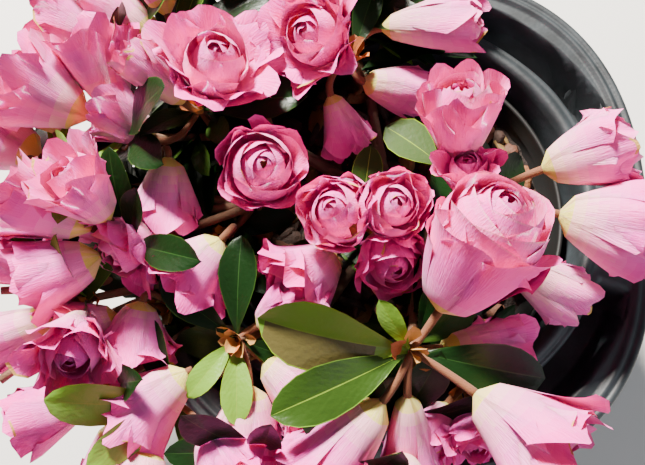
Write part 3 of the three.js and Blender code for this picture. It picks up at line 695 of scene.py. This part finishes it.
# %% [markdown]
# Twigs and flower stalks
#
# From each bough's tip a spray of twigs rises to the shoots, and each flower hangs from its shoot's end on a short
# downy stalk. All are thin tubes along bent paths. Three longer old stems reach out at the left, where the crown
# thins and the bare wood shows.

# %% Twigs and stalks
# each old stem's end and the point that bends it
OLD_STEMS = [((-141, 22, 125), (-110, -8, 114)), ((-133, -64, 122), (-104, -36, 112)),
             ((-136, -34, 122), (-108, -30, 112))]

rng = np.random.default_rng(5)
twigs, stalks = [], []
for shoot in shoots:
    at = shoot["at"]
    middle = (shoot["fork"] + at) / 2 + (0, 0, -4)
    path = bend(shoot["fork"], middle, at, 16)
    twigs.append(tube(path, np.linspace(1.7, 1.5, 16), 9, 0.12, int(rng.integers(99))))
    shoot["path"] = path
    for foot, mouth, _, _ in shoot["blooms"]:
        axis = unit(mouth - foot)
        path = bend(at, foot - axis * 0.45 * np.linalg.norm(foot - at), foot + axis * 1.5, 9)
        stalks.append(tube(path, np.linspace(1.0, 1.4, 9), 8))
for end, way in np.array(OLD_STEMS, float):
    nearest = min(shoots, key=lambda shoot: np.linalg.norm(shoot["at"] - end))
    path = bend(nearest["fork"], way, end, 20)
    twigs.append(tube(path, np.linspace(2.0, 1.5, 20), 9, 0.15, 40))

# young bark is smoother and redder than old bark
twig_bark = finish("young twig bark", "#6b4c36", 0.8)
relief(twig_bark, grain(twig_bark, 0.8, 4), "Fac", 0.35)
make_piece("twigs", twigs, [twig_bark], weld=True)
# a stalk's fine down catches light at its edges, which a little sheen gives
stalk_skin = finish("downy flower stalk", "#6e3f22", 0.8, Sheen_Weight=0.1)
relief(stalk_skin, grain(stalk_skin, 0.35, 3), "Fac", 0.3)
make_piece("flower_stalks", stalks, [stalk_skin], weld=True)

# %% [markdown]
# Leaves
#
# An azalea leaf is a thin oval that is widest past its middle, folded a little along a pale midrib and ending in
# a small point. A grid of quads carries that outline; the fold, the droop and a slight wave are heights added
# across and along it. Narrow columns at the middle and the edges become the midrib and the margin. The many small
# leaves below, which show in glimpses, have only four columns.

# %% Leaf blades
LEAF_ACROSS = np.array([-1, -0.96, -0.64, -0.3, -0.025, 0.025, 0.3, 0.64, 0.96, 1.0])
LEAF_SLOTS = np.array([2, 0, 0, 0, 1, 0, 0, 0, 2])
PLAIN_ACROSS = np.array([-1, -0.5, 0, 0.5, 1.0])


def leaf_part(start, tip, normal, tones, aspect=0.4, rows=11, columns=LEAF_ACROSS, fold=0.28, droop=0.14,
              phase=0.0, shadow_patch=None, stalk=0.07):
    """One blade: half width = aspect / 2 length sin(pi p**1.5)**0.6, where p runs 0 to 1 past the stalk's share.

    Its height is fold |across| + 0.16 length t (1 - t) - droop length t**2, and a small wave along the edge. The
    tones are the slots of blade, midrib and margin, and a painted shadow can be laid on part of one half with a
    slot of its own.
    """
    reach = tip - start
    length = np.linalg.norm(reach)
    forward = reach / length
    side = unit(np.cross(forward, normal))
    over = np.cross(side, forward)
    steps = np.linspace(0, 1, rows)[:, None]
    t = 0.35 * steps + 0.325 * (1 - np.cos(np.pi * steps))
    outline = np.sin(np.pi * np.clip((t - stalk) / (1 - stalk), 0, 1) ** 1.5) ** 0.6
    half = length * np.maximum(aspect / 2 * outline, 0.018 * (1 - 0.85 * t))
    across = half * columns
    wave = 0.02 * length * columns ** 2 * np.sin(9 * t + phase + 2 * np.sign(columns))
    height = fold * np.abs(across) + 0.16 * length * t * (1 - t) - droop * length * t * t + wave
    points = start + (length * t)[..., None] * forward + across[..., None] * side + height[..., None] * over
    kinds = LEAF_SLOTS if len(columns) == len(LEAF_ACROSS) else np.zeros(len(columns) - 1, int)
    slots = np.tile(np.array(tones)[kinds], (rows - 1, 1))
    # a painted shadow over the middle rows of one half
    if shadow_patch is not None:
        slots[rows // 3:-1, 1:4] = shadow_patch
    uv = np.stack(np.broadcast_arrays(columns * 0.5 + 0.5, t), -1)
    return grid_part(points[:, ::-1], slots[:, ::-1], uv=uv[:, ::-1])


# %% [markdown]
# An azalea leaf has a waxy, half-glossy skin, dark green when old and yellow green when young. Its side veins run
# slanting from the midrib to the tip. A wave in the blade's own UV makes those veins as relief, and each part of
# the blade takes a plain colour of its own.

# %% Leaf finishes
VEIN_TURNS, VEIN_SLANT = 60.0, 0.7


def leaf_finish(name, code, roughness=0.36):
    """A waxy blade: its height is 0.05 sin(VEIN_TURNS (v - VEIN_SLANT |u - 0.5|)) plus finer lumps."""
    blade = finish(name, code, roughness, 1.45, Specular_IOR_Level=0.22)
    place = add_node(blade, "ShaderNodeTexCoord")
    parts = add_node(blade, "ShaderNodeSeparateXYZ", links={"Vector": (place, "UV")})
    offset = add_node(blade, "ShaderNodeMath", {1: 0.5}, {0: (parts, "X")}, operation="SUBTRACT")
    distance = add_node(blade, "ShaderNodeMath", links={0: (offset, 0)}, operation="ABSOLUTE")
    slant = add_node(blade, "ShaderNodeMath", {1: -VEIN_SLANT}, {0: (distance, 0), 2: (parts, "Y")},
                     operation="MULTIPLY_ADD")
    turns = add_node(blade, "ShaderNodeMath", {1: VEIN_TURNS}, {0: (slant, 0)}, operation="MULTIPLY")
    veins = add_node(blade, "ShaderNodeMath", links={0: (turns, 0)}, operation="SINE")
    height = add_node(blade, "ShaderNodeMath", {1: 0.05}, {0: (veins, 0), 2: (grain(blade, 1.6, 3), "Fac")},
                      operation="MULTIPLY_ADD")
    relief(blade, height, 0, 0.16)
    return blade


# the olive-bronze tone is a painted shadow, laid on part of one leaf's blade
LEAF_TONES = {"dark": 0, "mid": 1, "fresh": 2, "grey": 3, "rib": 4, "dark rib": 5, "margin": 6, "painted_shadow": 7}
# wax gives a broad, weak highlight; old leaves read nearly black in the shade and young ones glow yellow green
leaf_finishes = [leaf_finish("dark glossy leaf", "#0d240a"), leaf_finish("mid green leaf", "#2c4414"),
                 leaf_finish("fresh leaf", "#638829"), leaf_finish("grey green leaf", "#3d522a", 0.5),
                 leaf_finish("pale midrib", "#6f8a2c"), leaf_finish("dark midrib", "#24401a"),
                 leaf_finish("yellow green margin", "#6f8a20"), leaf_finish("bronzed leaf", "#544d2a")]


def leaf_tones(tint):
    """The slots of blade, midrib and margin of a leaf of that tint."""
    rib, margin = {"dark": ("dark rib", "mid"), "mid": ("rib", "fresh")}.get(tint, ("rib", "margin"))
    return [LEAF_TONES.get(tint, LEAF_TONES["fresh"]), LEAF_TONES[rib], LEAF_TONES[margin]]


# %% Grow the leaves
TO_VIEWER = np.array([-0.1, -0.1, 0.96])
ASPECTS = {"bronzed": 0.46, "grey": 0.42}
# the hanging leaves' shares lean to the darkest green: partly their age, partly painted shade under the crown
AGES, RULED_SHARES, OLD_AND_SHADED_SHARES = ["dark", "mid", "fresh"], [0.5, 0.35, 0.15], [0.75, 0.2, 0.05]
SPRAY_INNER, SPRAY_EDGE, UPPER_LEAVES = 18, 28, 8
UPWARD = np.array([0.0, 0.0, 1.0])

rng = np.random.default_rng(8)
leaves = []
bloom_axes = [foot + share * (mouth - foot) for shoot in shoots for foot, mouth, _, _ in shoot["blooms"]
              for share in (0.0, 0.3, 0.6, 1.0)]
for shoot in shoots:
    at, axis = shoot["at"], outward(shoot["at"])
    for tip, tint in shoot["leaves"]:
        aspect = ASPECTS.get(tint, rng.uniform(0.33, 0.41))
        if tint == "ruled":
            tint = AGES[rng.choice(3, p=RULED_SHARES)]
            # under the listed shoots every ruled leaf takes the darkest green, partly as an old leaf and partly as
            # painted shade beneath the blooms
            tint = "dark" if viewed(tip[0], tip[1], 14) else tint
        facing = unit(axis + TO_VIEWER + 0.3 * rng.standard_normal(3))
        # the listed leaf with the shadow patch keeps a fresh blade, with a painted shadow over part of one half
        leaves.append(leaf_part(at, tip, facing, leaf_tones(tint), aspect, fold=rng.uniform(0.1, 0.3),
                                droop=rng.uniform(0.02, 0.14), phase=rng.uniform(0, 6),
                                shadow_patch=LEAF_TONES["painted_shadow"] if tint == "bronzed" else None,
                                stalk=0.45 if tint == "grey" else 0.07))
    # small leaves along the twig: the first few point outwards, the rest hang below the crown, mostly in the
    # darkest
    #     green, partly for their age and partly as painted shade
    edge = np.hypot(*(at[:2] - CROWN_MIDDLE)) > 0.6 * CROWN_RADIUS
    for k in range(SPRAY_EDGE if edge else SPRAY_INNER):
        below = k >= UPPER_LEAVES
        place = shoot["path"][int(rng.integers(5, 15) if below else rng.integers(8, 15))]
        if below:
            flat = unit([*(at[:2] - CROWN_MIDDLE), 0.0])
            spread, lean = rng.uniform(-1.9, 1.9), rng.uniform(1.4, 1.9)
            direction = turned(flat, UPWARD, spread) * np.sin(lean) + UPWARD * np.cos(lean)
        else:
            direction = leaning(axis, rng.uniform(1.1, 1.9), rng.uniform(0, 6.3))
        length = rng.uniform(24, 38) if below else rng.uniform(14, 24)
        direction = raised(place, direction, length)
        tip = place + direction * length
        deep = below and place[2] < at[2] - 8
        if deep or (far(tip, bloom_axes, 12) and far((place + tip) / 2, bloom_axes, 9)):
            tint = int(rng.choice(3, p=OLD_AND_SHADED_SHARES if below else RULED_SHARES))
            leaves.append(leaf_part(place, tip, axis, [tint] * 3, rows=7, columns=PLAIN_ACROSS,
                                    phase=rng.uniform(0, 6)))
make_piece("leaves", leaves, leaf_finishes)

# %% [markdown]
# The bud that gave a shoot its flowers leaves its husks at the shoot's end: thin, cupped, orange-brown scales.
# They are the leaf's blade again, broad, small and folded deeper.

# %% Bud scales
SCALES_PER_SHOOT = 8

rng = np.random.default_rng(9)
scales = []
for shoot in shoots:
    at, axis = shoot["at"], outward(shoot["at"])
    for k in range(SCALES_PER_SHOOT):
        direction = leaning(axis, rng.uniform(0.2, 1.3), k * GOLDEN_ANGLE)
        foot = at - axis * 2.5 + direction * 1.2
        tip = foot + direction * rng.uniform(5, 10)
        scales.append(leaf_part(foot, tip, axis, [int(rng.choice(3))] * 3, 0.6, 6, PLAIN_ACROSS,
                                fold=0.5, droop=-0.1))
# dry husks are papery and a little shiny, and they dry to different browns
scale_finishes = [finish("dry bud scale", "#8f4a1e", 0.6), finish("orange bud scale", "#b9652a", 0.55),
                  finish("straw bud scale", "#b98a4a", 0.55)]
for scale_finish in scale_finishes:
    relief(scale_finish, grain(scale_finish, 0.5, 3), "Fac", 0.2)
make_piece("bud_scales", scales, scale_finishes)

# %% [markdown]
# Petals
#
# Each bloom is a funnel of petals round one axis, with a heart of cupped petals in its mouth. A petal is a grid:
# across it the bearing changes, and along it the place on the funnel or on a ball. Petals overlap like roof
# tiles. The colour goes from a yellowish cream at the foot to pink at the lip, and the heart is a middle pink. A
# gradient could give that, but sixteen plain tones dealt out face by face lie so close together that no step
# shows, and they stay sharp in an exported model.

# %% Petal grids
TONES = 16


def petal_grid(count, rows, cols, rng):
    """u from -1 to 1 across, v from 0 to 1 along with a narrow last row, and each petal's phases and beats."""
    u = np.linspace(-1, 1, cols)[None, None, :]
    v = np.append(0.965 * np.linspace(0, 1, rows - 1) ** 0.85, 1.0)[None, :, None]
    return u, v, rng.uniform(0, 2 * np.pi, (6, count, 1, 1)), rng.uniform(0.8, 1.25, (3, count, 1, 1))


def per_petal(values, count):
    """One value to each petal, or the same to all, in a shape that spreads over a petal's rows and columns."""
    return np.asarray(values, float).reshape(-1, 1, 1) * np.ones((count, 1, 1))


def ruffles(u, v, phase, beat):
    """Soft folds, and crinkles that only the lip has: sin(3.2 u) v**3 + 0.5 sin(7 u) v**10."""
    return np.sin(3.2 * beat[0] * u + phase[1]) * v ** 3 + 0.5 * np.sin(7 * beat[1] * u + phase[2]) * v ** 10


def petal_mesh(bloom, r, bearing_here, z, shade, u, v, phase, withered, rng):
    """The petals of one whorl as a part: points at radius, bearing and height on the bloom's axis.

    Each face's tone is the shade there, a little lighter at the lip, and a little other from petal to petal. A
    spot at the tip is withered on that share of the petals.
    """
    foot, axis, side, up = bloom[:4]
    count, rows, cols = r.shape
    r = np.maximum(r, 0.2)
    points = (foot + z[..., None] * axis + (r * np.cos(bearing_here))[..., None] * side
              + (r * np.sin(bearing_here))[..., None] * up)
    shade = shade - 1.2 * (v > 0.95) + 0.8 * np.sin(phase[0]) + rng.uniform(-0.3, 0.3, r.shape)
    shade = np.clip(np.rint(shade[:, :-1, :-1]), 0, TONES - 1).astype(int)
    tip = (v > 0.9) & (np.abs(u - 0.6 * np.sin(phase[1])) < 0.25) & (phase[2] < 2 * np.pi * withered)
    shade = np.where(tip[:, :-1, :-1], TONES, shade)
    quads = (grid_quads(rows, cols)[None] + (np.arange(count) * rows * cols)[:, None, None]).reshape(-1, 4)
    uv = np.stack(np.broadcast_arrays(u * 0.5 + 0.5 + 0 * r, v + 0 * r), -1)
    return points.reshape(-1, 3), quads, shade.ravel(), uv.reshape(-1, 2)


# %% Outer whorls
def whorl_parts(bloom, turn, ring, tall, close, look, rng, rows, cols):
    """The petals of one outer whorl at once; turn, ring, tall and close have one value to a petal.

    The place along the funnel is s = tall (v - v**4 (0.24 |u|**2.6 + skew u)), which rounds the lip. The radius is
    ring R (0.27 (1 - e**(-s / 0.03)) + 0.73 (1 - (1 - s)**swell)), a blunt foot that swells to the mouth, times
    sqrt(1 - close past**2), where past is 0 up to s = 0.6 and 1 at s = 1. To it come the flare, the lap of one
    edge over the next petal, soft folds and the ruffles.
    """
    length, radius = bloom[4:]
    count = len(turn)
    u, v, phase, beat = petal_grid(count, rows, cols, rng)
    turn, ring, tall, close = [per_petal(values, count) for values in (turn, ring, tall, close)]
    lip = 0.24 * np.abs(u) ** 2.6 + 0.05 * np.sin(phase[5]) * u + 0.02 * np.sin(5 * beat[0] * u + phase[3])
    s = tall * (v - lip * v ** 4)
    low = np.clip(s, 0, 1)
    past = np.clip((s - 0.6) / 0.4, 0, None)
    blunt, swelling = 1 - np.exp(-low / 0.03), 1 - (1 - low) ** look["swell"]
    r = ring * radius * (0.27 * blunt + 0.73 * swelling + 0.5 * (s - low))
    r = r * np.sqrt(np.clip(1 - close * past ** 2, 0.05, None)) + look["flare"] * radius * past ** 2
    r = r + 0.06 * radius * u * rise(s, 0.3, 0.8)
    curl = rng.uniform(-0.04, 0.1, (count, 1, 1)) * v ** 8
    r = r + radius * (look["ruffle"] * ruffles(u, v, phase, beat) + curl)
    folds = np.sin(2.6 * u + 5 * s + phase[4]) + 0.6 * np.sin(6 * beat[2] * u - 4 * s + phase[5])
    r = r + 0.04 * radius * folds * rise(s, 0.25, 0.7)
    wave = look["ruffle"] * radius * np.cos(4.6 * beat[2] * u + phase[3]) * v ** 4
    z = length * (s - look["flare"] * 0.5 * past ** 2) + wave
    bearing_here = turn + 0.9 * u * (0.74 + 0.26 * v) + 0.06 * np.sin(phase[3]) * v
    shade = look["tone"] * low ** look["blush"] + 0.8 * np.cos(3 * u + phase[4]) * v
    return petal_mesh(bloom, r, bearing_here, z, shade, u, v, phase, look["withered"], rng)


# %% Hearts
def heart_parts(bloom, first_turn, look, rng, rows, cols):
    """The cupped petals of the heart, in a golden spiral from the outermost to the innermost.

    Each lies on a ball round a point of the axis. The ball's size falls from the heart's to 0.34 of it, and the
    petal runs from the polar angle 2 to its lip at open (1 - share) + 0.12 share, which 0.22 |u|**2.4 rounds. The
    inner balls are lifted by dome R share, so the heart stands as a dome or lies as a cup.
    """
    radius, count = bloom[5], look["inner"]
    u, v, phase, beat = petal_grid(count, rows, cols, rng)
    share = per_petal(np.linspace(0, 1, count), count)
    turn = first_turn + per_petal(np.arange(count) * GOLDEN_ANGLE + rng.uniform(-0.2, 0.2, count), count)
    ball = look["size"] * radius * (1 - 0.66 * share ** 0.9)
    lip = look["open"] * (1 - share) + 0.12 * share + rng.uniform(-0.1, 0.1, (count, 1, 1)) * (1 - share)
    rounding = 0.22 * np.abs(u) ** 2.4 + 0.04 * np.sin(phase[5]) * u
    polar = 2.0 + (lip - 2.0) * (v - rounding * v ** 3)
    swelled = ball * (1 + 0.07 * u + 0.5 * look["ruffle"] * ruffles(u, v, phase, beat)
                      + rng.uniform(0.03, 0.13, (count, 1, 1)) * v ** 9)
    r = swelled * np.sin(polar)
    z = swelled * np.cos(polar) + look["dome"] * radius * share
    bearing_here = turn + (1.05 + 0.7 * share) * u * (0.8 + 0.2 * v)
    shade = look["heart"] + 1.5 * (share - 0.5) + 0.6 * np.cos(3 * u + phase[4]) - 1.0 * v ** 6
    return petal_mesh(bloom, r, bearing_here, z, shade, u, v, phase, look["withered"] * 0.5, rng)


# %% [markdown]
# A bloom opens from a tight bud to a full rosette, and every stage is on the plant at once. So each form below is
# one row of values for the same two functions: how far the mouth is drawn in, how the funnel swells, its flare and
# ruffles and how tall its petals are; the count, size, place, opening, dome and nod of the heart; the tone at the
# lip, how soon the pink begins, and the share of petals with a withered tip.

# %% Forms of bloom
FORM_KEYS = ["close", "swell", "flare", "ruffle", "outer", "inner", "size", "middle", "open", "dome", "nod",
             "tone", "blush", "withered"]
FORMS = {
    # the crowned bloom's deep pink also paints the shade on its outer petals
    "crowned": (0.0, 1.8, 0.1, 0.08, 0.7, 20, 0.84, 0.74, 1.1, 0.3, 0.8, 12.6, 0.26, 0.05),
    "rose": (0.2, 1.7, 0.05, 0.1, 0.84, 14, 0.8, 0.7, 1.0, 0.26, 0.1, 10.5, 0.4, 0.1),
    "half": (0.4, 1.8, 0.02, 0.1, 0.92, 11, 0.74, 0.7, 0.9, 0.26, 0.0, 10.0, 0.5, 0.25),
    "tulip": (0.15, 1.8, 0.06, 0.13, 0.88, 9, 0.74, 0.66, 0.8, 0.2, 0.0, 10.0, 0.5, 0.3),
    "closed": (0.45, 1.8, 0.04, 0.17, 0.92, 9, 0.66, 0.78, 0.7, 0.14, 0.0, 8.6, 0.6, 0.3),
    "funnel": (0.1, 1.4, 0.1, 0.17, 0.92, 9, 0.68, 0.64, 0.8, 0.14, 0.0, 9.5, 0.55, 0.2),
    "frilly": (0.0, 1.5, 0.2, 0.18, 0.9, 11, 0.7, 0.66, 0.9, 0.14, 0.15, 10.5, 0.45, 0.1),
}
# the ruled blooms take a deeper pink: partly their hotter colour, partly painted shade
HEART_TONE, TONE_SPREAD, RULED_HOTTER_AND_SHADED = 8.6, 0.9, 1.2
PETALS, SECOND_WHORL = 5, 0.9
FINE_GRIDS, PLAIN_GRIDS = ((11, 13), (9, 9)), ((8, 9), (6, 7))


def bloom_frame(foot, axis, length, radius):
    """A bloom's foot, its axis with two directions square to it, its length and its radius."""
    side = unit(np.cross(axis, (0.2, 0.35, 0.9)))
    return foot, axis, side, np.cross(axis, side), length, radius


def bloom_parts(foot, mouth, across, form, fine, rng):
    """The parts of one bloom: an outer and a second whorl of five petals, then its heart."""
    length, radius = np.linalg.norm(mouth - foot), across / 2
    axis = unit(mouth - foot)
    bloom = bloom_frame(foot, axis, length, radius)
    look = dict(zip(FORM_KEYS, FORMS[form]))
    # a deeper tone on ruled blooms, partly hotter colour and partly painted shade
    look["tone"] += rng.uniform(-TONE_SPREAD, TONE_SPREAD) + (0.0 if fine else RULED_HOTTER_AND_SHADED)
    look["heart"] = HEART_TONE + rng.uniform(-TONE_SPREAD, TONE_SPREAD)
    fives = rng.uniform(0, 2 * np.pi) + np.arange(PETALS) * 2 * np.pi / PETALS
    outer_grid, heart_grid = FINE_GRIDS if fine else PLAIN_GRIDS
    nodding = unit(axis + look["nod"] * TO_VIEWER)
    heart = bloom_frame(foot + axis * look["middle"] * length, nodding, length, radius)
    return [whorl_parts(bloom, fives + rng.uniform(-0.1, 0.1, PETALS), [1.0],
                        look["outer"] + rng.uniform(-0.07, 0.05, PETALS),
                        look["close"] + rng.uniform(-0.1, 0.1, PETALS), look, rng, *outer_grid),
            whorl_parts(bloom, fives + np.pi / PETALS, [SECOND_WHORL],
                        look["outer"] + rng.uniform(0.0, 0.08, PETALS),
                        look["close"] + rng.uniform(0.0, 0.2, PETALS), look, rng, *outer_grid),
            heart_parts(heart, fives[0], look, rng, *heart_grid)]


# %% Petal finishes
TONE_KEYS = ["#efcf62", "#fbc4a4", "#fba0ba", "#f876bc", "#f452b2", "#ee3aa6", "#e22694", "#c8187a"]
# a petal is thin and silky: some light passes in and spreads, which softens its shadows, and fine ribs run
# along it
petal_finishes = []
for tone in range(TONES):
    place = tone * (len(TONE_KEYS) - 1) / (TONES - 1)
    key = min(int(place), len(TONE_KEYS) - 2)
    code = mixed(TONE_KEYS[key], TONE_KEYS[key + 1], place - key)
    petal = finish(f"silky petal tone {tone + 1}", code, 0.6, 1.4, Sheen_Weight=0.1, Subsurface_Weight=0.45,
                   Subsurface_Scale=0.003, Subsurface_Radius=(1.0, 0.45, 0.65))
    relief(petal, grain(petal, 140, 3, (7, 0.9, 1), "UV"), "Fac", 0.45)
    petal_finishes.append(petal)
# a spent tip dries to a dull straw brown
withered = finish("withered petal tip", "#c89a4e", 0.8)
relief(withered, grain(withered, 0.6, 3), "Fac", 0.3)
petal_finishes.append(withered)

# %% Grow the blooms
RULED_FORMS = ["rose", "half", "funnel", "frilly", "closed", "tulip"]
FORM_SHARES = [0.12, 0.08, 0.3, 0.35, 0.1, 0.05]

rng = np.random.default_rng(4)
for index, sector in enumerate(sectors):
    whorls = []
    for shoot in sector:
        for foot, mouth, across, form in shoot["blooms"]:
            if form == "ruled":
                form = RULED_FORMS[int(rng.choice(6, p=FORM_SHARES))]
            whorls += bloom_parts(foot, mouth, across, form, shoot["viewed"], rng)
    make_piece(f"petals_{index + 1}", whorls, petal_finishes, [f"mass_{index + 1}"])
